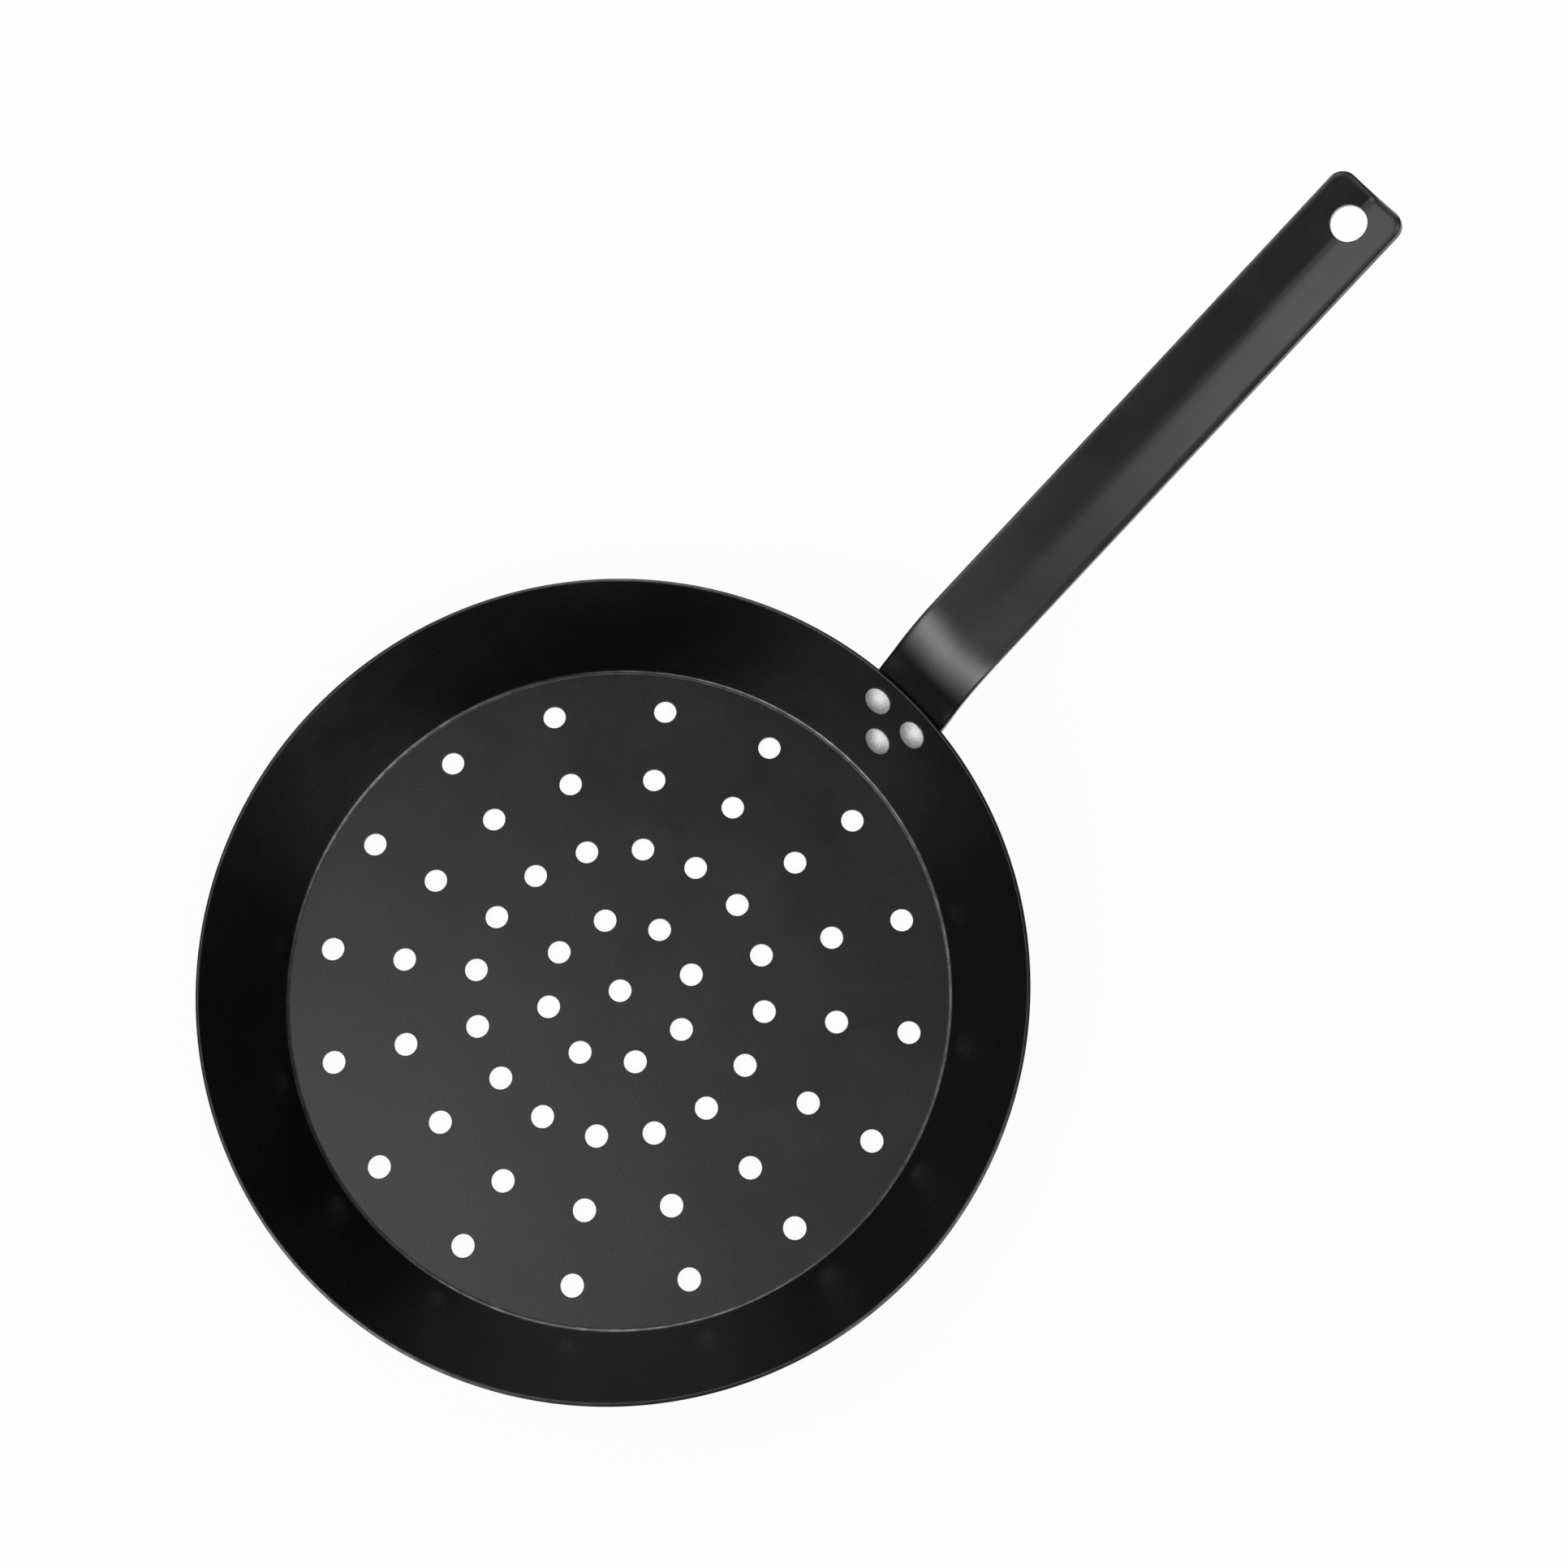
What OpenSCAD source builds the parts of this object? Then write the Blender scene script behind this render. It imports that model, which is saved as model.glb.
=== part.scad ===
// Chestnut roaster: a shallow perforated steel pan with a long strip handle on three rivets.
// Millimetres. The origin is the centre of the base's underside, +Z is up, the handle points along +X.

/* [Pan] */
// Outside diameter at the rim
rim_d = 280; // [220:1:340]
// Height from the base to the top of the rim
pan_h = 36; // [30:1:60]
// Angle of the wall above the horizontal
wall_angle = 56.5; // [45:0.5:75]
// Thickness of the pressed sheet
sheet = 1.5; // [1:0.1:3]
// Inside radius of the bend between floor and wall
floor_bend_r = 2; // [1:0.5:8]
// Radius that eases the two edges of the rim
rim_edge_r = 0.4; // [0.1:0.05:0.45]

/* [Vents] */
// Diameter of each vent in the floor
vent_d = 8; // [4:0.5:12]
// Distance from the centre vent to the first ring, and from ring to ring
ring_pitch = 25.5; // [20:0.1:30]
// Vents in the first ring
first_ring_vents = 8; // [6:1:10]
// Vents in each ring outside the first
outer_ring_vents = 16; // [12:1:20]
// Turn of the first ring from the handle, in degrees
first_ring_turn = 14.1; // [0:0.1:45]
// Turn of the outer rings from the handle, in degrees
outer_ring_turn = -7; // [-22.5:0.1:22.5]
// Least width of plain floor between the last ring and the bend
vent_margin = 6; // [3:0.5:12]

/* [Handle] */
// Width of the strip from the tab to the rim
handle_w = 30.9; // [26:0.1:40]
// Width of the strip at its free end
handle_end_w = 27.9; // [22:0.1:40]
// Thickness of the strip
strip = 3; // [2:0.1:4]
// Radius that eases the strip's long edges
strip_edge_r = 0.6; // [0.2:0.1:0.9]
// Width over which the punched strip's upper edges roll off
edge_roll_w = 2.4; // [0.6:0.1:3]
// Distance from the base up to the tab's lower end, along the wall
tab_foot = 7; // [4:0.5:10]
// Radius of the tab's lower corners
tab_corner_r = 12; // [4:0.5:13]
// Length from the rim to the bend, along the wall's slope
rise_l = 11; // [8:0.5:40]
// Radius of the bend, on the upper face
bend_r = 46; // [10:1:80]
// Angle of the grip above the horizontal
grip_slope = 25.5; // [5:0.5:40]
// Length of the straight grip
grip_l = 189.5; // [120:0.5:260]
// Depth of the lengthwise gutter below the strip's edges, at the free end
gutter_depth = 3.4; // [0:0.1:6]
// Depth of that gutter where the bend ends
gutter_mouth = 0.9; // [0:0.1:2]
// Length from the bend over which the gutter eases into its even fall
gutter_ease = 20; // [10:1:80]
// Half width of the rounded valley in the gutter
valley_w = 1.8; // [1:0.1:8]
// Radius of the corners of the free end
end_corner_r = 5; // [2:0.5:10]
// Diameter of the hanging hole
hang_d = 11.5; // [6:0.5:14]
// Distance from the hanging hole's centre to the free end
hang_edge = 11.7; // [9:0.1:20]

/* [Rivets] */
// Diameter of a shank
shank_d = 5; // [4:0.1:6]
// Diameter of a head
head_d = 10; // [8:0.1:11]
// Height of a domed head
head_h = 2.2; // [1.5:0.1:3.5]
// Height of the straight edge under the dome
head_edge = 0.5; // [0.2:0.1:1]
// Distance from the upper rivets to the strip's edges
rivet_edge = 6.9; // [6:0.1:8]
// Distance from the rim down to the upper rivets, along the wall
upper_drop = 10.4; // [8:0.1:13]
// Distance from the lower rivet to the tab's lower end
lower_edge = 10.7; // [8:0.1:12]

/* [Fits] */
// Gap between the tab and the wall
seat_gap = 0.05; // [0.02:0.01:0.2]
// Gap round a shank in its holes
shank_gap = 0.05; // [0.02:0.01:0.2]
// Gap under a rivet's head
head_gap = 0.02; // [0.01:0.01:0.1]

/* [Hidden] */
$fn = 64;
// Facets round the pan, and steps along its small arcs
pan_fn = 180;
bend_arc_steps = 8;
edge_arc_steps = 4;
// Steps across and along the strip
across_steps = 12;
strip_edge_steps = 2;
edge_roll_steps = 4;
corner_steps = 5;
tab_steps = 3;
rise_steps = 6;
bend_steps = 6;
grip_steps = 18;
// Length by which a cutter passes the face that it cuts
over = 1;

// Wall: its outer edge at the rim, its direction, and its inward normal, as [radius, height]
wall_dir = [cos(wall_angle), sin(wall_angle)];
wall_in = [-sin(wall_angle), cos(wall_angle)];
// The eased rim reaches rim_d and pan_h, so its sharp corner lies a little outside them
ease_loss = rim_edge_r * (wall_dir[0] + wall_dir[1] - 1);
rim_edge = [rim_d / 2 + ease_loss, pan_h - sheet * wall_in[1] + ease_loss];
wall_l = rim_edge[1] / wall_dir[1];
base_r = rim_edge[0] - wall_l * wall_dir[0];
// Floor: the bend's outside radius and centre, which is also where the flat of the floor ends
bend_out_r = floor_bend_r + sheet;
floor_r = base_r - bend_out_r * tan(wall_angle / 2);
// Vents: as many rings as the flat floor holds
ring_count = floor((floor_r - vent_margin - vent_d / 2) / ring_pitch);
// Handle: lengths are measured along the strip from the rim, outwards
tab_l = wall_l - tab_foot;
bend_l = bend_r * (wall_angle - grip_slope) * PI / 180;
bend_end = rise_l + bend_l;
strip_l = bend_end + grip_l;
spine_start = rim_edge - seat_gap * wall_in;
rise_end = spine_start + rise_l * wall_dir;
bend_centre = rise_end - bend_r * wall_in;
// Rivets: name, distance below the rim and distance to the left of the handle's middle
rivet_y = handle_w / 2 - rivet_edge;
lower_drop = tab_l - lower_edge;
RIVETS = [
    ["rivet_left", upper_drop, rivet_y],
    ["rivet_right", upper_drop, -rivet_y],
    ["rivet_lower", lower_drop, 0]
];

// Points on an arc, both ends included
function arc(centre, r, from, to, steps) = [
    for (i = [0:steps])
        let (a = from + (to - from) * i / steps)
            centre + r * [cos(a), sin(a)]
];

// Evenly spread lengths from one end up to, but without, the other
function spread(from, to, steps) = [
    for (i = [0:steps - 1])
        from + (to - from) * i / steps
];

// Eases from 0 to 1 as x goes from 0 to 1
function ease(x) = let (c = max(0, min(1, x))) c * c * (3 - 2 * c);

// Half section of the pan: base, bend, outside of the wall, eased rim, inside of the wall, floor
function pan_section() =
    let (
        floor_bend = [floor_r, bend_out_r],
        rim_in = rim_edge + sheet * wall_in,
        ease_out = rim_edge + rim_edge_r * (wall_in - wall_dir),
        ease_in = rim_in - rim_edge_r * (wall_in + wall_dir)
    )
    concat(
        [[0, 0]],
        arc(floor_bend, bend_out_r, -90, wall_angle - 90, bend_arc_steps),
        arc(ease_out, rim_edge_r, wall_angle - 90, wall_angle, edge_arc_steps),
        arc(ease_in, rim_edge_r, wall_angle, wall_angle + 90, edge_arc_steps),
        arc(floor_bend, floor_bend_r, wall_angle - 90, -90, bend_arc_steps),
        [[0, sheet]]
    );

// Slope of the strip at a length s from the rim
function slope(s) =
    s <= rise_l ? wall_angle
    : s >= bend_end ? grip_slope
    : wall_angle - (s - rise_l) / bend_r * 180 / PI;

// Upward normal of the strip, as [x, z]
function strip_up(s) = [-sin(slope(s)), cos(slope(s))];

// Middle of the strip's upper face, before the gutter, as [x, z]
function spine(s) =
    s <= rise_l ? spine_start + s * wall_dir
    : bend_centre + bend_r * strip_up(s)
        + max(0, s - bend_end) * [cos(grip_slope), sin(grip_slope)];

// Half width of the strip with square ends
function half_w(s) =
    s <= 0 ? handle_w / 2
    : handle_w / 2 + (handle_end_w - handle_w) / 2 * s / strip_l;

// What a rounded corner takes off the half width, at a distance d from the end
function corner_cut(d, r) = d >= r ? 0 : r - sqrt(r * r - (r - d) * (r - d));

// Half width with the rounded corners of both ends
function half_w_cut(s) =
    half_w(s) - corner_cut(s + tab_l, tab_corner_r) - corner_cut(strip_l - s, end_corner_r);

// Height of the wall's cone above its tangent plane, at a distance u from the handle's middle
function wall_sag(u, s) =
    let (
        cone_r = spine_start[0] + s * wall_dir[0],
        b = 2 * cone_r / wall_dir[1],
        a = cos(2 * wall_angle) / (wall_dir[1] * wall_dir[1])
    )
    2 * u * u / (b + sqrt(b * b + 4 * a * u * u));

// A length that starts slowly and then runs on evenly
function eased_run(x) =
    x <= 0 ? 0
    : x < gutter_ease ? x * x / (2 * gutter_ease)
    : x - gutter_ease / 2;

// Height of the gutter's face, which is 0 at the strip's edges and lowest in the middle
function gutter(u, s) =
    let (
        fall = eased_run(s - bend_end) / eased_run(grip_l),
        depth = gutter_mouth * ease((s - rise_l) / bend_l) + (gutter_depth - gutter_mouth) * fall,
        x = u / half_w(s),
        v = valley_w / half_w(s)
    )
    depth * ((sqrt(x * x + v * v) - v) / (sqrt(1 + v * v) - v) - 1);

// The upper face hugs the wall up to the rim, is flat where the bend starts and then becomes a gutter
function face(u, s) = wall_sag(u, s) * (1 - ease(s / rise_l)) + gutter(u, s);

// Slope of that face across the strip, taken over a short step
function face_grade(u, s, step = 0.01) = (face(u + step, s) - face(u - step, s)) / (2 * step);

// Points between two edges at a distance c to each side, from left to right
function between(c) = [for (i = [1:across_steps - 1]) c - 2 * c * i / across_steps];

// A rolled upper edge: a quarter of an ellipse that ends a width w and strip_edge_r from its centre
function rolled_edge(centre, w, from, to) = [
    for (p = arc([0, 0], 1, from, to, edge_roll_steps))
        centre + [w * p[0], strip_edge_r * p[1]]
];

// Outline of a flat strip, seen along it: upper face at 0, rolled edges above and eased ones below
function flat_outline(b) =
    let (
        roll_w = min(edge_roll_w, b / 2),
        upper = b - roll_w,
        lower = b - strip_edge_r,
        top = -strip_edge_r,
        low = strip_edge_r - strip
    )
    concat(
        arc([lower, low], strip_edge_r, -90, 0, strip_edge_steps),
        rolled_edge([upper, top], roll_w, 0, 90),
        [for (u = between(upper)) [u, 0]],
        rolled_edge([-upper, top], roll_w, 90, 180),
        arc([-lower, low], strip_edge_r, 180, 270, strip_edge_steps),
        [for (u = between(lower)) [-u, -strip]]
    );

// The outline bent to the face at s and set in place
function strip_ring(s) = [
    for (p = flat_outline(half_w_cut(s)))
        let (
            g = face_grade(p[0], s),
            n = [-g, 1] / sqrt(1 + g * g),
            q = [p[0], face(p[0], s)] + p[1] * n,
            m = spine(s) + q[1] * strip_up(s)
        )
        [m[0], q[0], m[1]]
];

// Lengths at which the strip's rings stand, closer where its shape changes
strip_stations = concat(
    [for (i = [0:corner_steps - 1]) tab_corner_r * (1 - cos(90 * i / corner_steps)) - tab_l],
    spread(tab_corner_r - tab_l, 0, tab_steps),
    spread(0, rise_l, rise_steps),
    spread(rise_l, bend_end, bend_steps),
    spread(bend_end, strip_l - end_corner_r, grip_steps),
    [for (i = [0:corner_steps]) strip_l - end_corner_r * (1 - sin(90 * i / corner_steps))]
);

// Closed solid through a list of rings with equal counts of points
module loft(rings) {
    n = len(rings[0]);
    last = len(rings) - 1;
    sides = [
        for (i = [0:last - 1], j = [0:n - 1])
            let (a = i * n + j, b = i * n + (j + 1) % n)
                each [[a, b, b + n], [a, b + n, a + n]]
    ];
    first_cap = [for (j = [0:n - 1]) n - 1 - j];
    last_cap = [for (j = [0:n - 1]) last * n + j];
    polyhedron([for (r = rings) each r], concat([first_cap], sides, [last_cap]));
}

// Places a child on the wall's outside, its +Z square to the wall and pointing into the pan
module on_wall(drop, left) {
    r = rim_edge[0] - drop * wall_dir[0];
    z = rim_edge[1] - drop * wall_dir[1];
    rotate([0, 0, asin(left / r)])
        translate([r, 0, z])
            rotate([0, -wall_angle, 0])
                children();
}

// Cutters for the three shanks, through the tab and the wall
module shank_holes() {
    low = strip + seat_gap + over;
    for (rivet = RIVETS)
        on_wall(rivet[1], rivet[2])
            translate([0, 0, -low])
                cylinder(d = shank_d + 2 * shank_gap, h = low + sheet + over);
}

// Cutter for one vent
module vent() {
    translate([0, 0, -over])
        cylinder(d = vent_d, h = sheet + 2 * over);
}

// Centre vent, the first ring and the outer rings
module vents() {
    vent();
    for (k = [1:ring_count]) {
        count = k == 1 ? first_ring_vents : outer_ring_vents;
        turn = k == 1 ? first_ring_turn : outer_ring_turn;
        for (i = [0:count - 1])
            rotate([0, 0, turn + 360 * i / count])
                translate([k * ring_pitch, 0, 0])
                    vent();
    }
}

module pan_body() {
    color("#1b1b1d")
        difference() {
            rotate_extrude($fn = pan_fn)
                polygon(pan_section());
            vents();
            shank_holes();
        }
}

module handle() {
    hang_s = strip_l - hang_edge;
    hang_at = spine(hang_s);
    hang_reach = gutter_depth + strip + over;
    color("#2c2b2b")
        difference() {
            loft([for (s = strip_stations) strip_ring(s)]);
            translate([hang_at[0], 0, hang_at[1]])
                rotate([0, -grip_slope, 0])
                    translate([0, 0, -hang_reach])
                        cylinder(d = hang_d, h = hang_reach + over);
            shank_holes();
        }
}

// One set rivet: a domed head inside the pan, a shank, and the same head on the tab
module rivet(drop, left) {
    head_r = head_d / 2;
    shank_r = shank_d / 2;
    inner_r = rim_edge[0] - drop * wall_dir[0] - sheet * wall_dir[1];
    // The inner head stands clear of the wall's hollow curve
    curve = head_r * head_r * wall_dir[1] / (2 * inner_r);
    inner = sheet + curve + head_gap;
    outer = -seat_gap - strip - head_gap;
    dome_h = head_h - head_edge;
    dome_r = (head_r * head_r + dome_h * dome_h) / (2 * dome_h);
    dome_a = asin(head_r / dome_r);
    color("#b4b6b8")
        on_wall(drop, left)
            rotate_extrude()
                polygon(concat(
                    arc([0, outer - head_h + dome_r], dome_r, -90, dome_a - 90, bend_arc_steps),
                    [[head_r, outer], [shank_r, outer], [shank_r, inner], [head_r, inner]],
                    arc([0, inner + head_h - dome_r], dome_r, 90 - dome_a, 90, bend_arc_steps)
                ));
}

pan_body();
handle();
for (r = RIVETS)
    rivet(r[1], r[2]);
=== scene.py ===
import math
from collections import namedtuple

import bpy
from mathutils import Euler, Matrix, Vector
from mathutils.geometry import delaunay_2d_cdt


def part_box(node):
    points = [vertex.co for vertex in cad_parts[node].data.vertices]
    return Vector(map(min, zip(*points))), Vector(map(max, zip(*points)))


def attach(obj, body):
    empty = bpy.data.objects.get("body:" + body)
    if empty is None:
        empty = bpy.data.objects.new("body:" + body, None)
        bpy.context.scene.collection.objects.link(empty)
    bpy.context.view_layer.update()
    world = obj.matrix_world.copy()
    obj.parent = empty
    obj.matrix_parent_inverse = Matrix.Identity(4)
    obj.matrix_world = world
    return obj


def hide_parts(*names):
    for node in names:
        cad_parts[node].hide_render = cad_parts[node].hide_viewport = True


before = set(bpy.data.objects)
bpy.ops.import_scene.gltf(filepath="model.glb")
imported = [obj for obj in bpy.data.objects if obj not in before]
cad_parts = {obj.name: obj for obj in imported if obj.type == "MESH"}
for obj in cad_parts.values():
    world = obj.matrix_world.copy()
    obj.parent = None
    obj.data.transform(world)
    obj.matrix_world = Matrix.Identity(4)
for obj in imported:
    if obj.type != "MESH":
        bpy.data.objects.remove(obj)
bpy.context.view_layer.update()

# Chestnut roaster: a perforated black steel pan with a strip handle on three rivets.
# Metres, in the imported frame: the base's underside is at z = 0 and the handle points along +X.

pan_low, pan_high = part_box("pan_body")

MM = 0.001

# Pan
RIM_R = (pan_high.x - pan_low.x) / 2
PAN_H = pan_high.z
WALL_ANGLE = math.radians(56.5)
SHEET = 1.5 * MM
FLOOR_BEND_R = 2 * MM
RIM_EASE = 0.4 * MM
# Painted highlight along the middle of the bend between floor and wall: lighter metal that stands in for
# the bright reflection there, on the scale where 1 is the wear of an edge
CREASE_PAINTED_SHEEN = 1.6

# Vents
VENT_R = 4 * MM
VENT_EASE = 0.2 * MM
RING_PITCH = 25.5 * MM
# Vents in each ring from the middle outwards, and each ring's turn from the handle in degrees
VENT_RINGS = ((1, 0), (8, 14.1), (16, -7), (16, -7), (16, -7))

# Handle
HANDLE_W = 30.9 * MM
HANDLE_END_W = 27.9 * MM
STRIP = 3 * MM
STRIP_EASE = 0.6 * MM
EDGE_ROLL_W = 2.4 * MM
TAB_FOOT = 7 * MM
TAB_CORNER_R = 12 * MM
RISE_L = 11 * MM
BEND_R = 46 * MM
GRIP_SLOPE = math.radians(25.5)
GRIP_L = 189.5 * MM
GUTTER_DEPTH = 3.4 * MM
GUTTER_MOUTH = 0.9 * MM
GUTTER_EASE = 20 * MM
VALLEY_W = 1.8 * MM
END_CORNER_R = 5 * MM
HANG_R = 5.75 * MM
HANG_EDGE = 11.7 * MM
HANG_EASE = 0.3 * MM
SEAT_GAP = 0.05 * MM

# Rivets
SHANK_R = 2.5 * MM
SHANK_GAP = 0.05 * MM
HEAD_R = 5 * MM
HEAD_H = 2.2 * MM
HEAD_EDGE = 0.5 * MM
HEAD_EASE = 0.16 * MM
HEAD_GAP = 0.02 * MM
RIVET_EDGE = 6.9 * MM
UPPER_DROP = 10.4 * MM
LOWER_EDGE = 10.7 * MM

# Wall: its direction, its inward normal and its outer edge at the rim, as (radius, height)
WALL_UP = Vector((math.cos(WALL_ANGLE), math.sin(WALL_ANGLE)))
WALL_IN = Vector((-math.sin(WALL_ANGLE), math.cos(WALL_ANGLE)))
EASE_LOSS = RIM_EASE * (WALL_UP.x + WALL_UP.y - 1)
RIM_EDGE = Vector((RIM_R + EASE_LOSS, PAN_H - SHEET * WALL_IN.y + EASE_LOSS))
WALL_L = RIM_EDGE.y / WALL_UP.y
BASE_R = RIM_EDGE.x - WALL_L * WALL_UP.x
FLOOR_R = BASE_R - (FLOOR_BEND_R + SHEET) * math.tan(WALL_ANGLE / 2)
# Length over the pan's inner face from its middle to the foot of the wall, and to the rim
WALL_FOOT = FLOOR_R + FLOOR_BEND_R * WALL_ANGLE
RIM_REACH = WALL_FOOT + (RIM_EDGE.y + SHEET * WALL_IN.y - SHEET
                         - FLOOR_BEND_R * (1 - WALL_UP.x)) / WALL_UP.y

# Handle: lengths are measured along the strip from the rim, outwards
TAB_L = WALL_L - TAB_FOOT
BEND_END = RISE_L + BEND_R * (WALL_ANGLE - GRIP_SLOPE)
STRIP_L = BEND_END + GRIP_L
SPINE_START = RIM_EDGE - SEAT_GAP * WALL_IN
BEND_CENTRE = SPINE_START + RISE_L * WALL_UP - BEND_R * WALL_IN
HANG_S = STRIP_L - HANG_EDGE

# Rivets: distance below the rim and distance to the left of the handle's middle
RIVET_Y = HANDLE_W / 2 - RIVET_EDGE
RIVETS = {
    "rivet_left": (UPPER_DROP, RIVET_Y),
    "rivet_right": (UPPER_DROP, -RIVET_Y),
    "rivet_lower": (TAB_L - LOWER_EDGE, 0),
}

# Photograph: the camera's place and turn, and the handle's angle from the picture's right
PHOTO_PX = 1932
FOCAL_PX = 2890.6
SENSOR_MM = 36
NEAR_CLIP = 10 * MM
HANDLE_IN_PICTURE = 43.765
CAMERA_PLACE = Vector((-46, -123.1, 816.5)) * MM
CAMERA_TURN = Euler(map(math.radians, (13.459, -0.382, -HANDLE_IN_PICTURE)))

# Steps of the meshes
TURN_STEPS = 288
VENT_STEPS = 40
HANG_STEPS = 80
BEND_STEPS = 16
WALL_ROWS = 14
EASE_STEPS = 4
CORNER_STEPS = 14
STRIP_STEP = 1.6 * MM
ACROSS_STEPS = 20
RIVET_STEPS = 64
DOME_STEPS = 16
SETTLE_STEPS = 8
CLEAR = 0.5 * MM
TINY = 1e-5
SHARP_ANGLE = math.radians(40)
# How the filling of a sheet works: triangles within its borders only, and points closer than this are one
WITHIN_BORDERS = 1
SAME_POINT = 1e-8
# How steeply the wear of a rolled edge grows towards its outermost line
EDGE_WEAR_POWER = 4

# A border of a sheet: its points, the radius of its eased edges, the width over which its upper edge
# rolls off, and its points on the lower face
Border = namedtuple("Border", "points ease roll lower")


def circle(centre, radius, steps, clockwise=False):
    """Points of a circle round a centre."""
    way = -1 if clockwise else 1
    angles = [way * 2 * math.pi * i / steps for i in range(steps)]
    return [centre + radius * Vector((math.cos(a), math.sin(a))) for a in angles]


def smooth(x):
    """Eases from 0 to 1 as x goes from 0 to 1."""
    x = max(0, min(1, x))
    return x * x * (3 - 2 * x)


def outward(points):
    """Directions square to a closed border and away from the sheet on the left of its travel."""
    ways = []
    for i in range(len(points)):
        along = points[(i + 1) % len(points)] - points[i - 1]
        ways.append(Vector((along.y, -along.x)).normalized())
    return ways


def fill(borders, inner):
    """Points of the borders and the inner ones, and triangles of their indices between the borders."""
    points = [p for border in borders for p in border] + inner
    edges = []
    owner = []
    for k, border in enumerate(borders):
        first = len(owner)
        edges += [(first + i, first + (i + 1) % len(border)) for i in range(len(border))]
        owner += [k] * len(border)
    owner += [0] * len(inner)
    _, _, made_faces, made_from, _, _ = delaunay_2d_cdt(points, edges, [], WITHIN_BORDERS, SAME_POINT)
    triangles = []
    for made in made_faces:
        corners = [made_from[i][0] for i in made]
        owners = {owner[i] for i in corners}
        in_hole = len(owners) == 1 and owners != {0}
        if not in_hole:
            triangles.append(corners)
    return points, triangles


def surface_normal(place, p, depth):
    """Upward normal of a placed face at a flat point."""
    along = place(p + Vector((TINY, 0)), depth) - place(p - Vector((TINY, 0)), depth)
    across = place(p + Vector((0, TINY)), depth) - place(p - Vector((0, TINY)), depth)
    return along.cross(across).normalized()


def unworn(p):
    """The wear of a sheet that is only worn along its edges."""
    return 0


def sheet_mesh(name, place, borders, inner, thickness, wear_and_sheen_level=unworn):
    """Closed mesh of a bent sheet with eased edges.

    The borders and inner points are flat. place sets a flat point in space, at a height over the upper
    face, and wear_and_sheen_level says how much wear and painted highlight the faces carry there.
    """
    points = []
    normals = []
    wear_and_sheen = []
    faces = []

    def add(point, normal, wear_and_sheen_here):
        points.append(point)
        normals.append(normal)
        wear_and_sheen.append(wear_and_sheen_here)
        return len(points) - 1

    sides = []
    for side, depth in ((1, 0), (-1, -thickness)):
        insets = []
        for border in borders:
            line, inset = (border.points, border.roll) if side > 0 else (border.lower, border.ease)
            insets.append([p - inset * n for p, n in zip(line, outward(line))])
        flat, triangles = fill(insets, inner)
        first = len(points)
        for p in flat:
            add(place(p, depth), side * surface_normal(place, p, depth), wear_and_sheen_level(p))
        for triangle in triangles:
            corners = [first + i for i in triangle]
            faces.append(corners if side > 0 else corners[::-1])
        sides.append(first)

    passed = 0
    for border in borders:
        rows = []
        ways = zip(border.points, outward(border.points), border.lower, outward(border.lower))
        for i, (p, n, q, m) in enumerate(ways):
            top = place(p, 0)
            low = place(q, -thickness)
            top_out = (top - place(p - TINY * n, 0)).normalized()
            low_out = (low - place(q - TINY * m, -thickness)).normalized()
            down = (low - top).normalized()
            row = [sides[0] + passed + i]
            for k in range(1, EASE_STEPS + 1):
                a = math.pi / 2 * k / EASE_STEPS
                q_in = p - border.roll * (1 - math.sin(a)) * n
                up = surface_normal(place, q_in, 0)
                way = border.ease * math.sin(a) * top_out + border.roll * math.cos(a) * up
                at = place(q_in, 0) - border.ease * (1 - math.cos(a)) * up
                row.append(add(at, way.normalized(), math.sin(a) ** EDGE_WEAR_POWER))
            for k in range(EASE_STEPS):
                a = math.pi / 2 * k / EASE_STEPS
                way = math.cos(a) * low_out + math.sin(a) * down
                row.append(add(low + border.ease * (way - down - low_out), way, 1))
            row.append(sides[1] + passed + i)
            rows.append(row)
        for i, row in enumerate(rows):
            after = rows[(i + 1) % len(rows)]
            for k in range(len(row) - 1):
                faces.append((row[k], row[k + 1], after[k + 1], after[k]))
        passed += len(border.points)

    mesh = bpy.data.meshes.new(name)
    mesh.from_pydata(points, [], faces)
    mesh.shade_smooth()
    mesh.normals_split_custom_set_from_vertices(normals)
    # The attribute holds the wear of the edges and the painted highlight along the pan's crease
    mesh.attributes.new("wear_and_sheen", "FLOAT", "POINT").data.foreach_set("value", wear_and_sheen)
    return mesh


def lathe_mesh(name, profile, steps, matrix):
    """Closed mesh turned from a profile of (radius, height), whose ends lie on the axis."""
    points = [Vector((0, 0, profile[0].y))]
    for p in profile[1:-1]:
        points += [Vector((c.x, c.y, p.y)) for c in circle(Vector((0, 0)), p.x, steps)]
    points.append(Vector((0, 0, profile[-1].y)))
    faces = []
    last = len(points) - 1
    for i in range(steps):
        j = (i + 1) % steps
        faces.append((0, 1 + j, 1 + i))
        for row in range(len(profile) - 3):
            a = 1 + row * steps
            faces.append((a + i, a + j, a + steps + j, a + steps + i))
        faces.append((last, last - steps + i, last - steps + j))
    mesh = bpy.data.meshes.new(name)
    mesh.from_pydata([matrix @ p for p in points], [], faces)
    mesh.shade_smooth()
    mesh.set_sharp_from_angle(angle=SHARP_ANGLE)
    return mesh


def pan_profile(reach):
    """Point and normal of the pan's inner face, as (radius, height), at a length from its middle."""
    turn = max(0, min(WALL_ANGLE, (reach - FLOOR_R) / FLOOR_BEND_R))
    along = Vector((math.cos(turn), math.sin(turn)))
    normal = Vector((-math.sin(turn), math.cos(turn)))
    centre = Vector((FLOOR_R, SHEET + FLOOR_BEND_R))
    return centre - FLOOR_BEND_R * normal + (reach - FLOOR_R - FLOOR_BEND_R * turn) * along, normal


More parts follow.
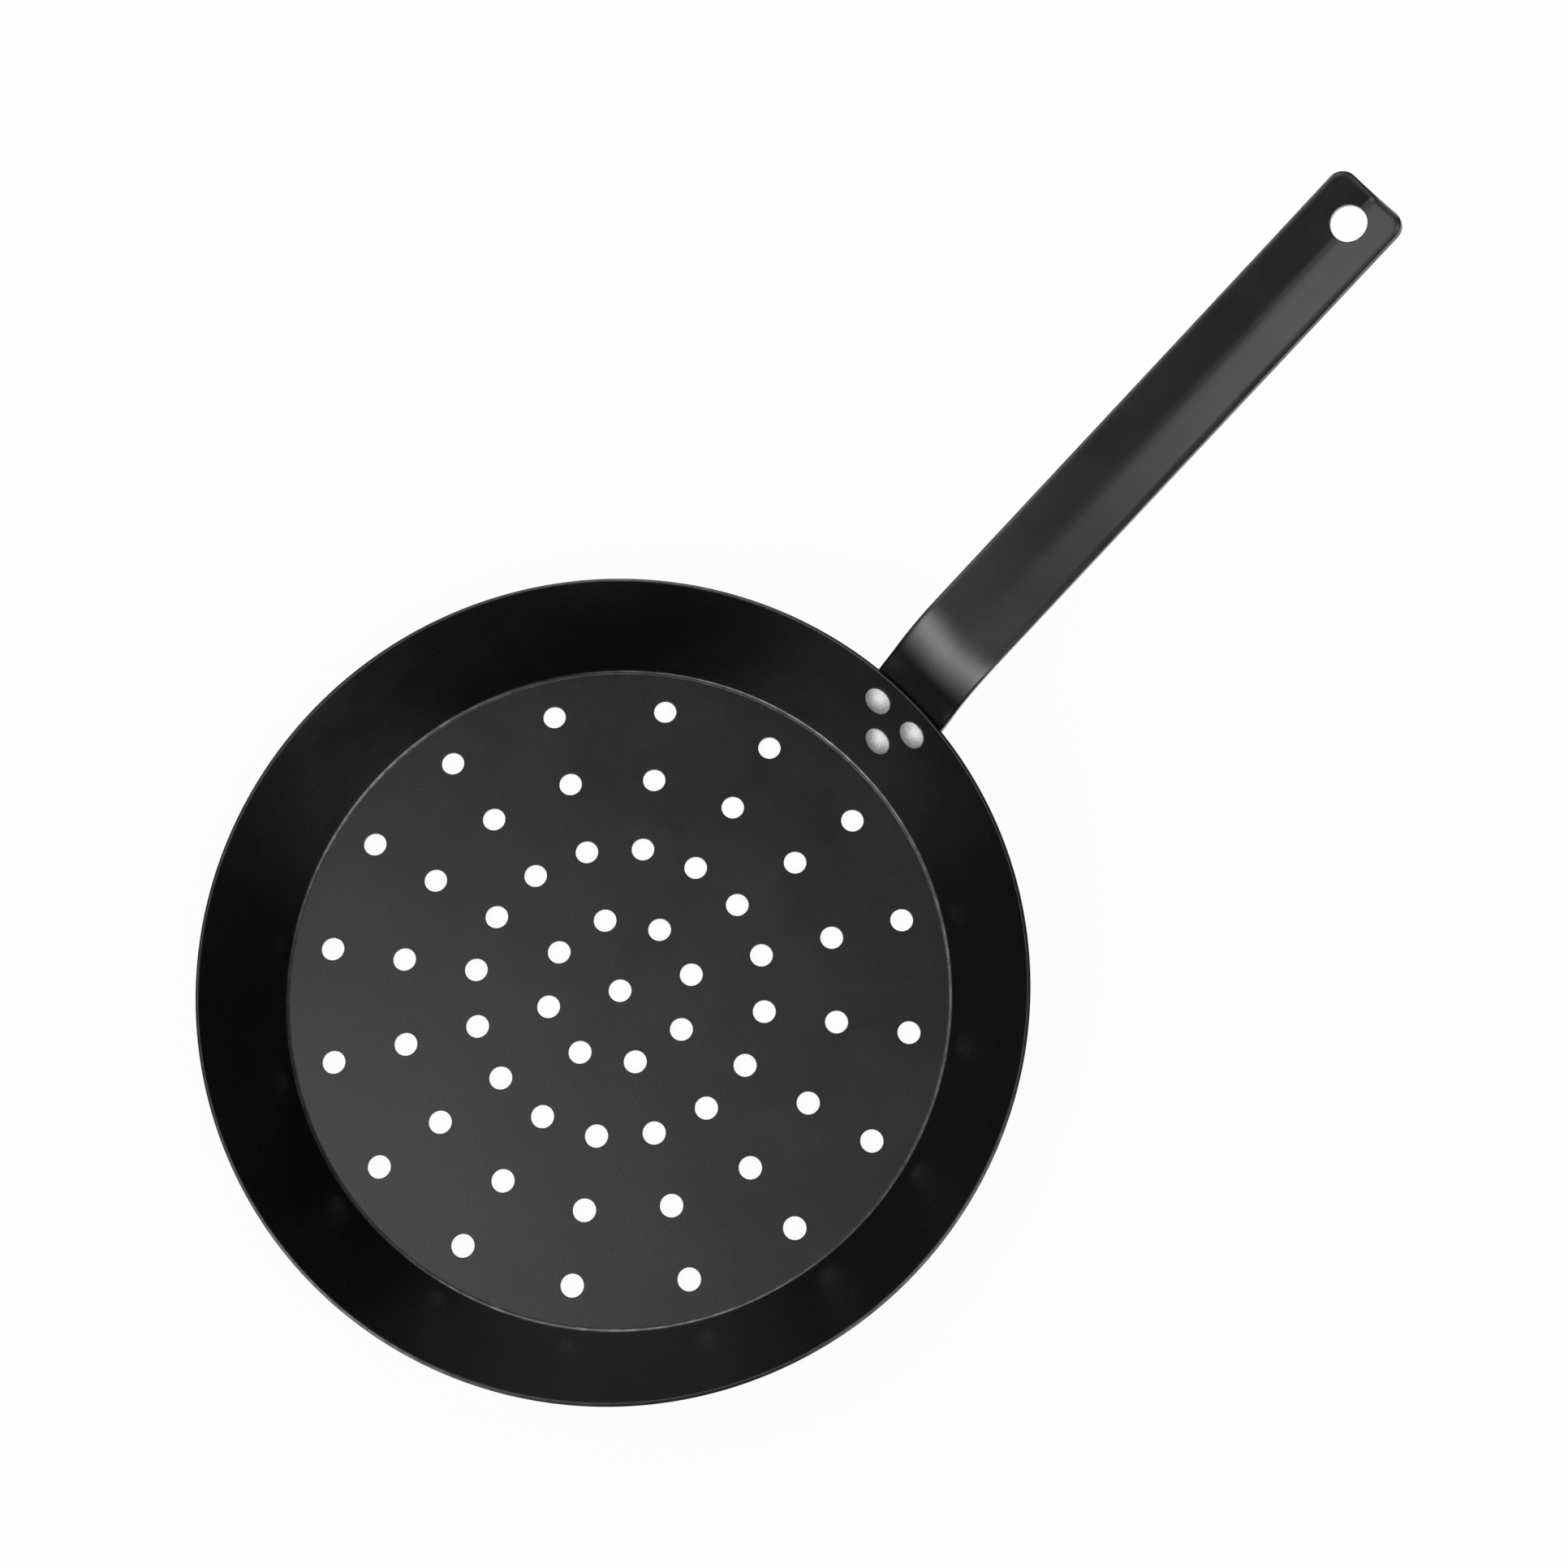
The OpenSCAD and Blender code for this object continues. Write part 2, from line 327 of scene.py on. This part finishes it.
def on_pan(p, depth):
    """A flat point of the pan, pressed into shape."""
    reach = p.length
    point, normal = pan_profile(reach)
    point = point + depth * normal
    if reach <= FLOOR_R:
        return Vector((p.x, p.y, point.y))
    return Vector((p.x / reach * point.x, p.y / reach * point.x, point.y))


def around(reach, angle):
    """A flat point of the pan by its length from the middle and its angle from the handle."""
    return reach * Vector((math.cos(angle), math.sin(angle)))


def pan_rivet_hole(drop, left):
    """Border of a shank's hole in the wall."""
    reach = RIM_REACH - drop
    radius = pan_profile(reach)[0].x
    middle = math.asin(left / (RIM_EDGE.x - drop * WALL_UP.x))
    ring = circle(Vector((0, 0)), SHANK_R + SHANK_GAP, VENT_STEPS, clockwise=True)
    return [around(reach + p.x, middle + p.y / radius) for p in ring]


def vent_centres():
    """Middles of the vents in the floor."""
    centres = []
    for k, (count, turn) in enumerate(VENT_RINGS):
        for i in range(count):
            centres.append(around(k * RING_PITCH, math.radians(turn) + 2 * math.pi * i / count))
    return centres


def crease_painted_sheen(p):
    """Painted highlight on the pan's sheet: lighter metal along the bend between floor and wall, standing
    in for the bright reflection there.
    """
    share = (p.length - FLOOR_R) / (WALL_FOOT - FLOOR_R)
    return CREASE_PAINTED_SHEEN * math.sin(math.pi * max(0, min(1, share)))


def pan_mesh():
    """The pan: one pressed sheet with a rim, vents and three shank holes."""
    rim = [around(RIM_REACH, 2 * math.pi * (i + 0.5) / TURN_STEPS) for i in range(TURN_STEPS)]
    vents = [circle(c, VENT_R, VENT_STEPS, clockwise=True) for c in vent_centres()]
    shanks = [pan_rivet_hole(*seat) for seat in RIVETS.values()]
    borders = [Border(rim, RIM_EASE, RIM_EASE, rim)]
    borders += [Border(ring, VENT_EASE, VENT_EASE, ring) for ring in vents + shanks]

    rows = [(k + 0.5) * RING_PITCH for k in range(len(VENT_RINGS) - 1)]
    rows += [FLOOR_R + (WALL_FOOT - FLOOR_R) * i / BEND_STEPS for i in range(BEND_STEPS + 1)]
    rows += [WALL_FOOT + (RIM_REACH - RIM_EASE - WALL_FOOT) * i / WALL_ROWS for i in range(1, WALL_ROWS)]
    seats = [sum(ring, Vector((0, 0))) / VENT_STEPS for ring in shanks]
    inner = []
    for reach in rows:
        for i in range(TURN_STEPS):
            p = around(reach, 2 * math.pi * (i + 0.5) / TURN_STEPS)
            if all((p - seat).length > SHANK_R + 2 * CLEAR for seat in seats):
                inner.append(p)
    # The pan's faces carry a painted highlight along the crease between floor and wall
    return sheet_mesh("pressed_pan", on_pan, borders, inner, SHEET, crease_painted_sheen)


def slope(s):
    """Slope of the strip at a length from the rim."""
    return WALL_ANGLE - max(0, min(BEND_END - RISE_L, s - RISE_L)) / BEND_R


def spine(s):
    """Middle of the strip's upper face before the gutter, and its upward normal, as (x, z)."""
    up = Vector((-math.sin(slope(s)), math.cos(slope(s))))
    if s <= RISE_L:
        return SPINE_START + s * WALL_UP, up
    along = Vector((math.cos(GRIP_SLOPE), math.sin(GRIP_SLOPE)))
    return BEND_CENTRE + BEND_R * up + max(0, s - BEND_END) * along, up


def half_width(s):
    """Half width of the strip with square ends."""
    return HANDLE_W / 2 + (HANDLE_END_W - HANDLE_W) / 2 * max(0, s) / STRIP_L


def wall_sag(u, s):
    """Height of the wall's cone above its tangent plane, at a distance from the handle's middle."""
    cone_r = SPINE_START.x + s * WALL_UP.x
    b = 2 * cone_r / WALL_UP.y
    a = math.cos(2 * WALL_ANGLE) / WALL_UP.y ** 2
    return 2 * u * u / (b + math.sqrt(b * b + 4 * a * u * u))


def eased_run(x):
    """A length that starts slowly and then runs on evenly."""
    x = max(0, x)
    return x * x / (2 * GUTTER_EASE) if x < GUTTER_EASE else x - GUTTER_EASE / 2


def gutter(u, s):
    """Height of the gutter's face, which is 0 at the strip's edges and lowest in the middle."""
    fall = eased_run(s - BEND_END) / eased_run(GRIP_L)
    mouth = GUTTER_MOUTH * smooth((s - RISE_L) / (BEND_END - RISE_L))
    depth = mouth + (GUTTER_DEPTH - GUTTER_MOUTH) * fall
    x = u / half_width(s)
    v = VALLEY_W / half_width(s)
    return depth * ((math.hypot(x, v) - v) / (math.hypot(1, v) - v) - 1)


def face(u, s):
    """Height of the upper face, which hugs the wall, is flat where the bend starts, then is a gutter."""
    return wall_sag(u, s) * (1 - smooth(s / RISE_L)) + gutter(u, s)


def face_normal(u, s):
    """Normal of that face across the strip, as (sideways, up)."""
    grade = (face(u + TINY, s) - face(u - TINY, s)) / (2 * TINY)
    return Vector((-grade, 1)).normalized()


def on_strip(p, depth):
    """A flat point of the handle, as (length, distance to the left), bent into shape."""
    normal = face_normal(p.y, p.x)
    middle, up = spine(p.x)
    at = middle + (face(p.y, p.x) + depth * normal.y) * up
    return Vector((at.x, p.y + depth * normal.x, at.y))


def strip_outline():
    """Border of the flat strip: both long sides and the rounded corners of both ends."""
    corners = (
        (-TAB_L + TAB_CORNER_R, -1, TAB_CORNER_R, 180),
        (STRIP_L - END_CORNER_R, -1, END_CORNER_R, 270),
        (STRIP_L - END_CORNER_R, 1, END_CORNER_R, 0),
        (-TAB_L + TAB_CORNER_R, 1, TAB_CORNER_R, 90),
    )
    key_points = []
    for s, side, r, start in corners:
        for i in range(CORNER_STEPS + 1):
            a = math.radians(start + 90 * i / CORNER_STEPS)
            at = s + r * math.cos(a)
            key_points.append(Vector((at, side * (half_width(at) - r) + r * math.sin(a))))
    outline = []
    for i, p in enumerate(key_points):
        gap = key_points[(i + 1) % len(key_points)] - p
        parts = max(1, round(gap.length / STRIP_STEP))
        outline += [p + gap * k / parts for k in range(parts)]
    return outline


def below(ring):
    """Where a straight hole's border meets the lower face of the strip."""
    lower = []
    for p in ring:
        u = p.y
        for _ in range(SETTLE_STEPS):
            u = p.y + STRIP * face_normal(u, p.x).x
        lower.append(Vector((p.x, u)))
    return lower


def handle_mesh():
    """The handle: one strip with a tab, a bend, a gutter, a hanging hole and three shank holes."""
    outline = strip_outline()
    hang_at = Vector((HANG_S, 0))
    hang = circle(hang_at, HANG_R, HANG_STEPS, clockwise=True)
    holes = [(hang_at, HANG_R)]
    borders = [
        Border(outline, STRIP_EASE, EDGE_ROLL_W, outline),
        Border(hang, HANG_EASE, HANG_EASE, below(hang)),
    ]
    for drop, left in RIVETS.values():
        seat = Vector((-drop, left))
        ring = circle(seat, SHANK_R + SHANK_GAP, VENT_STEPS, clockwise=True)
        borders.append(Border(ring, VENT_EASE, VENT_EASE, ring))
        holes.append((seat, SHANK_R))

    inner = []
    first = EDGE_ROLL_W + CLEAR - TAB_L
    last = STRIP_L - EDGE_ROLL_W - CLEAR
    rows = round((last - first) / STRIP_STEP)
    for i in range(rows + 1):
        s = first + (last - first) * i / rows
        reach = half_width(s) - EDGE_ROLL_W - CLEAR
        for k in range(ACROSS_STEPS + 1):
            p = Vector((s, reach * (2 * k / ACROSS_STEPS - 1)))
            clear_of_holes = all((p - c).length > r + 2 * CLEAR for c, r in holes)
            if clear_of_holes and inside_corners(p):
                inner.append(p)
    return sheet_mesh("strip_handle", on_strip, borders, inner, STRIP)


def inside_corners(p):
    """Whether a point of the strip lies well within the rounded corners of its ends."""
    tab_end = (-TAB_L + TAB_CORNER_R, TAB_CORNER_R, -1)
    grip_end = (STRIP_L - END_CORNER_R, END_CORNER_R, 1)
    for s, r, way in (tab_end, grip_end):
        past = way * (p.x - s)
        out = abs(p.y) - (half_width(p.x) - r)
        if past > 0 and out > 0 and math.hypot(past, out) > r - EDGE_ROLL_W - CLEAR:
            return False
    return True


def head_profile(seat):
    """Half section of a domed head from its axis to its seat, as (radius, height)."""
    dome_h = HEAD_H - HEAD_EDGE
    dome_r = (HEAD_R ** 2 + dome_h ** 2) / (2 * dome_h)
    widest = math.asin(HEAD_R / dome_r)
    top = seat + HEAD_H - dome_r
    angles = [widest * i / DOME_STEPS for i in range(DOME_STEPS)]
    dome = [Vector((dome_r * math.sin(a), top + dome_r * math.cos(a))) for a in angles]
    corner = Vector((HEAD_R, seat + HEAD_EDGE))
    before = corner + HEAD_EASE * Vector((-math.cos(widest), math.sin(widest)))
    after = corner - Vector((0, HEAD_EASE))
    eased = []
    for i in range(EASE_STEPS + 1):
        t = i / EASE_STEPS
        eased.append((1 - t) ** 2 * before + 2 * t * (1 - t) * corner + t * t * after)
    return dome + eased + [Vector((HEAD_R, seat))]


def rivet_mesh(name, drop, left):
    """One set rivet: a domed head inside the pan, a shank, and the same head on the tab."""
    r = RIM_EDGE.x - drop * WALL_UP.x
    z = RIM_EDGE.y - drop * WALL_UP.y
    inner_r = r - SHEET * WALL_UP.y
    curve = HEAD_R ** 2 * WALL_UP.y / (2 * inner_r)
    inner_seat = SHEET + curve + HEAD_GAP
    outer_seat = SEAT_GAP + STRIP + HEAD_GAP
    inside = head_profile(inner_seat)
    outside = [Vector((p.x, -p.y)) for p in head_profile(outer_seat)]
    shank = [Vector((SHANK_R, -outer_seat)), Vector((SHANK_R, inner_seat))]
    seat = (Matrix.Rotation(math.asin(left / r), 4, "Z") @ Matrix.Translation((r, 0, z))
            @ Matrix.Rotation(-WALL_ANGLE, 4, "Y"))
    return lathe_mesh(name, outside + shank + inside[::-1], RIVET_STEPS, seat)


# Black steel of the pan and of the handle: tone, roughness, pebbles per metre and their depth
PAN_STEEL = (0.048, 0.26, 2800, 0.032 * MM)
HANDLE_STEEL = (0.055, 0.21, 3300, 0.026 * MM)
# Both steels: spots per metre of the noises, tones as shares of the steel's own, and what wear and the
# painted highlight of the crease do
CLOUD_SPOTS = 26
DARK_CLOUD = 0.9
DARK_CLOUD_WARMTH = -0.012
LIGHT_CLOUD = 1.1
LIGHT_CLOUD_WARMTH = 0.02
SPECKS_PER_PEBBLE = 0.31
SPECK_SPAN = (0.62, 0.78)
SPECK_SHARE = 0.22
SPECK_TONE = 1.5
PATCH_SPOTS = 190
PATCH_SPAN = (0.42, 0.62)
PATCH_LEAST = 0.25
# Lighter, smoother metal of worn edges. The same tone along the pan's crease is a painted highlight
WEAR_AND_SHEEN_TONE = 0.11
WEAR_AND_SHEEN_SHARE = 0.7
WEAR_AND_SHEEN_POLISH = 0.06
ROUGH_SPREAD = 0.03

# Satin aluminium of the rivets
MOTTLE_SPOTS = 1100
MOTTLE_HEIGHT = 0.6
SCRATCH_SPOTS = 1300
SCRATCH_TURN = (0.4, 0.9, 0.3)
SCRATCH_STRETCH = (1, 9, 1)
SCRATCH_ROUGH = 0.04
SCRATCH_HEIGHT = 0.4
RIVET_DARK = 0.56
RIVET_DARK_WARMTH = 0.005
RIVET_LIGHT = 0.82
RIVET_LIGHT_WARMTH = 0.01
RIVET_ROUGH = (0.55, 0.65)
RIVET_GRAIN = 0.06 * MM

# Where most of a noise lies
NOISE_SPAN = (0.3, 0.7)


def add_node(tree, kind, inputs=None, **settings):
    """A new node with its settings, and its inputs set to values or linked to sockets."""
    made = tree.nodes.new(kind)
    for key, value in settings.items():
        setattr(made, key, value)
    for key, value in (inputs or {}).items():
        if isinstance(value, bpy.types.NodeSocket):
            tree.links.new(value, made.inputs[key])
        else:
            made.inputs[key].default_value = value
    return made


def noise(tree, where, spots, detail=2.0, roughness=0.5):
    """Noise over the object, in spots per metre."""
    inputs = {"Vector": where, "Scale": spots, "Detail": detail, "Roughness": roughness}
    return add_node(tree, "ShaderNodeTexNoise", inputs).outputs[0]


def remap(tree, value, low, high, to_low, to_high):
    """A value taken from one range to another, and kept within it."""
    inputs = {"Value": value, "From Min": low, "From Max": high, "To Min": to_low, "To Max": to_high}
    return add_node(tree, "ShaderNodeMapRange", inputs).outputs[0]


def spread(tree, noise_value, low, high):
    """A noise spread over a range."""
    return remap(tree, noise_value, *NOISE_SPAN, low, high)


def combine(tree, operation, a, b):
    """Two values joined by a mathematical operation."""
    return add_node(tree, "ShaderNodeMath", {0: a, 1: b}, operation=operation).outputs[0]


def mix_colour(tree, share, a, b):
    """Two colours mixed by a share."""
    return add_node(tree, "ShaderNodeMix", {0: share, 6: a, 7: b}, data_type="RGBA").outputs[2]


def grey(value, warmth=0.0):
    """A grey, a little warm or cool."""
    return (value * (1 + warmth), value, value * (1 - warmth), 1)


def new_material(name):
    """An empty material, its tree and its object coordinates."""
    material = bpy.data.materials.new(name)
    material.use_nodes = True
    tree = material.node_tree
    tree.nodes.clear()
    where = add_node(tree, "ShaderNodeTexCoord").outputs["Object"]
    return material, tree, where


def set_surface(tree, shader):
    """Links a shader to the material's or world's output."""
    in_world = isinstance(tree.id_data, bpy.types.World)
    kind = "ShaderNodeOutputWorld" if in_world else "ShaderNodeOutputMaterial"
    add_node(tree, kind, {"Surface": shader.outputs[0]})


def black_steel(name, tone, roughness, pebbles, pebble_depth):
    """Blackened sheet steel: clouded tone, a fine pebbled skin, and brighter metal where it is worn, and
    along the pan's crease as a painted highlight.
    """
    material, tree, where = new_material(name)
    clouds = noise(tree, where, CLOUD_SPOTS, detail=4, roughness=0.6)
    skin = noise(tree, where, pebbles, detail=1.5, roughness=0.55)
    specks = noise(tree, where, pebbles * SPECKS_PER_PEBBLE, detail=2)
    wear_and_sheen = add_node(tree, "ShaderNodeAttribute", attribute_name="wear_and_sheen").outputs["Fac"]
    patches = noise(tree, where, PATCH_SPOTS, detail=3, roughness=0.6)
    wear_and_sheen_level = combine(tree, "MULTIPLY", wear_and_sheen, remap(tree, patches, *PATCH_SPAN, PATCH_LEAST, 1))

    dark = grey(tone * DARK_CLOUD, DARK_CLOUD_WARMTH)
    light = grey(tone * LIGHT_CLOUD, LIGHT_CLOUD_WARMTH)
    clouded = mix_colour(tree, spread(tree, clouds, 0, 1), dark, light)
    speck_share = remap(tree, specks, *SPECK_SPAN, 0, SPECK_SHARE)
    specked = mix_colour(tree, speck_share, clouded, grey(tone * SPECK_TONE))
    # Worn edges, and the painted highlight along the pan's crease, turn the colour towards a lighter grey
    colour = mix_colour(tree, combine(tree, "MULTIPLY", wear_and_sheen_level, WEAR_AND_SHEEN_SHARE), specked, grey(WEAR_AND_SHEEN_TONE))

    base_rough = spread(tree, clouds, roughness - ROUGH_SPREAD, roughness + ROUGH_SPREAD)
    fine_rough = combine(tree, "ADD", base_rough, spread(tree, skin, -ROUGH_SPREAD, ROUGH_SPREAD))
    rough = combine(tree, "SUBTRACT", fine_rough, combine(tree, "MULTIPLY", wear_and_sheen_level, WEAR_AND_SHEEN_POLISH))
    bump = add_node(tree, "ShaderNodeBump", {"Strength": 1.0, "Distance": pebble_depth, "Height": skin})
    shader = add_node(tree, "ShaderNodeBsdfPrincipled", {
        "Base Color": colour, "Metallic": 1.0, "Roughness": rough, "Normal": bump.outputs[0],
    })
    set_surface(tree, shader)
    return material


def satin_aluminium(name):
    """Satin aluminium of the rivets: soft grey, faintly scratched and mottled."""
    material, tree, where = new_material(name)
    mottle = noise(tree, where, MOTTLE_SPOTS, detail=4, roughness=0.65)
    inputs = {"Vector": where, "Rotation": SCRATCH_TURN, "Scale": SCRATCH_STRETCH}
    along_scratches = add_node(tree, "ShaderNodeMapping", inputs).outputs[0]
    scratches = noise(tree, along_scratches, SCRATCH_SPOTS, detail=3, roughness=0.6)

    dark = grey(RIVET_DARK, RIVET_DARK_WARMTH)
    light = grey(RIVET_LIGHT, RIVET_LIGHT_WARMTH)
    colour = mix_colour(tree, spread(tree, mottle, 0, 1), dark, light)
    mottled_rough = spread(tree, mottle, *RIVET_ROUGH)
    rough = combine(tree, "ADD", mottled_rough, spread(tree, scratches, -SCRATCH_ROUGH, SCRATCH_ROUGH))
    mottle_height = combine(tree, "MULTIPLY", mottle, MOTTLE_HEIGHT)
    height = combine(tree, "ADD", mottle_height, combine(tree, "MULTIPLY", scratches, SCRATCH_HEIGHT))
    bump = add_node(tree, "ShaderNodeBump", {"Strength": 1.0, "Distance": RIVET_GRAIN, "Height": height})
    shader = add_node(tree, "ShaderNodeBsdfPrincipled", {
        "Base Color": colour, "Metallic": 1.0, "Roughness": rough, "Normal": bump.outputs[0],
    })
    set_surface(tree, shader)
    return material


# Stage
FLOOR_SIZE = 8.0
FLOOR_DROP = 0.1 * MM
FLOOR_PAINT = 0.9
# Share of the floor that is plain white light, and how much of that shows in gloss under the pan
FLOOR_GLOW = 0.94
UNDER_PAN = 0.2


def glow_share(tree, where):
    """How much of the floor's white shows: all of it to the camera and through glass, and in gloss
    only outside the pan, because the floor under the pan lies in its shadow."""
    path = add_node(tree, "ShaderNodeLightPath").outputs
    reach = add_node(tree, "ShaderNodeVectorMath", {0: where}, operation="LENGTH").outputs["Value"]
    lit_share = remap(tree, reach, BASE_R, RIM_R, UNDER_PAN, 1)
    in_gloss = combine(tree, "MULTIPLY", path["Is Glossy Ray"], lit_share)
    shown = combine(tree, "MAXIMUM", path["Is Camera Ray"], path["Is Transmission Ray"])
    return combine(tree, "MULTIPLY", combine(tree, "MAXIMUM", shown, in_gloss), FLOOR_GLOW)


def white_floor():
    """A plain white floor that keeps a faint shadow."""
    half = FLOOR_SIZE / 2
    mesh = bpy.data.meshes.new("white_floor")
    corners = [(-half, -half), (half, -half), (half, half), (-half, half)]
    mesh.from_pydata([(x, y, -FLOOR_DROP) for x, y in corners], [], [(0, 1, 2, 3)])
    material, tree, where = new_material("white_floor")
    paint = add_node(tree, "ShaderNodeBsdfDiffuse", {"Color": grey(FLOOR_PAINT)})
    glow = add_node(tree, "ShaderNodeEmission", {"Color": grey(1.0), "Strength": 1.0})
    inputs = {0: glow_share(tree, where), 1: paint.outputs[0], 2: glow.outputs[0]}
    set_surface(tree, add_node(tree, "ShaderNodeMixShader", inputs))
    material.cycles.emission_sampling = "NONE"
    mesh.materials.append(material)
    floor = bpy.data.objects.new("white_floor", mesh)
    bpy.context.scene.collection.objects.link(floor)


# Soft lights of the studio: angle in the picture from its right and height, half width and half height
# at half level, all in degrees, and level
STUDIO_LEVEL = 0.2
STUDIO_LIGHTS = {
    "key": (220, 32, 18, 10, 2.6),
    "key_glow": (220, 24, 24, 17, 1.6),
    "key_high": (216, 50, 18, 9, 0.5),
    "key_side": (254, 40, 10, 11, 1.9),
    "top": (92, 30, 20, 26, 2.0),
    "right": (325, 38, 20, 30, 2.0),
    "left": (170, 48, 12, 11, 1.3),
    "left_fill": (150, 36, 32, 20, 0.7),
    "overhead": (175, 76, 11, 11, 1.8),
    "zenith": (280, 85, 14, 14, 0.3),
}
# Distances from a light's middle, as shares of its half width, where its fading starts and ends
FADE_START = 0.5
FADE_END = 1.5


def studio_world():
    """White to the camera, and a plain studio with soft lights to everything else."""
    world = bpy.data.worlds.new("studio")
    bpy.context.scene.world = world
    world.use_nodes = True
    tree = world.node_tree
    tree.nodes.clear()
    way = add_node(tree, "ShaderNodeTexCoord").outputs["Generated"]
    level = STUDIO_LEVEL
    for angle, height, wide, high, strength in STUDIO_LIGHTS.values():
        turn = (0, -math.radians(height), math.radians(angle - HANDLE_IN_PICTURE))
        # The great first size leaves only the distance across the light, so each light also lies opposite,
        # under the floor, which hides it
        size = (1 / TINY, math.sin(math.radians(wide)), math.sin(math.radians(high)))
        inputs = {"Vector": way, "Rotation": turn, "Scale": size}
        on_light = add_node(tree, "ShaderNodeMapping", inputs, vector_type="TEXTURE").outputs[0]
        away = add_node(tree, "ShaderNodeVectorMath", {0: on_light}, operation="LENGTH").outputs["Value"]
        inputs = {"Value": away, "From Min": FADE_END, "From Max": FADE_START, "To Max": strength}
        light = add_node(tree, "ShaderNodeMapRange", inputs, interpolation_type="SMOOTHSTEP").outputs[0]
        level = combine(tree, "ADD", light, level)
    studio = add_node(tree, "ShaderNodeBackground", {"Color": grey(1.0), "Strength": level})
    white = add_node(tree, "ShaderNodeBackground", {"Color": grey(1.0), "Strength": 1.0})
    from_camera = add_node(tree, "ShaderNodeLightPath").outputs["Is Camera Ray"]
    inputs = {0: from_camera, 1: studio.outputs[0], 2: white.outputs[0]}
    set_surface(tree, add_node(tree, "ShaderNodeMixShader", inputs))


def photo_camera():
    """The camera at the photograph's place and turn."""
    data = bpy.data.cameras.new("photo_camera")
    data.sensor_width = SENSOR_MM
    data.lens = SENSOR_MM * FOCAL_PX / PHOTO_PX
    data.clip_start = NEAR_CLIP
    camera = bpy.data.objects.new("photo_camera", data)
    camera.location = CAMERA_PLACE
    camera.rotation_euler = CAMERA_TURN
    bpy.context.scene.collection.objects.link(camera)
    bpy.context.scene.camera = camera


def add_piece(mesh, material, node):
    """Puts a piece in the scene in the place of its node."""
    mesh.materials.append(material)
    piece = bpy.data.objects.new(mesh.name, mesh)
    bpy.context.scene.collection.objects.link(piece)
    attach(piece, "root")
    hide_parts(node)
    return piece


bpy.context.scene.view_settings.view_transform = "Standard"
photo_camera()
white_floor()
studio_world()

pan_steel = black_steel("pan_steel", *PAN_STEEL)
handle_steel = black_steel("handle_steel", *HANDLE_STEEL)
rivet_metal = satin_aluminium("rivet_metal")

add_piece(pan_mesh(), pan_steel, "pan_body")
add_piece(handle_mesh(), handle_steel, "handle")
for node_name, seat in RIVETS.items():
    add_piece(rivet_mesh("set_" + node_name, *seat), rivet_metal, node_name)
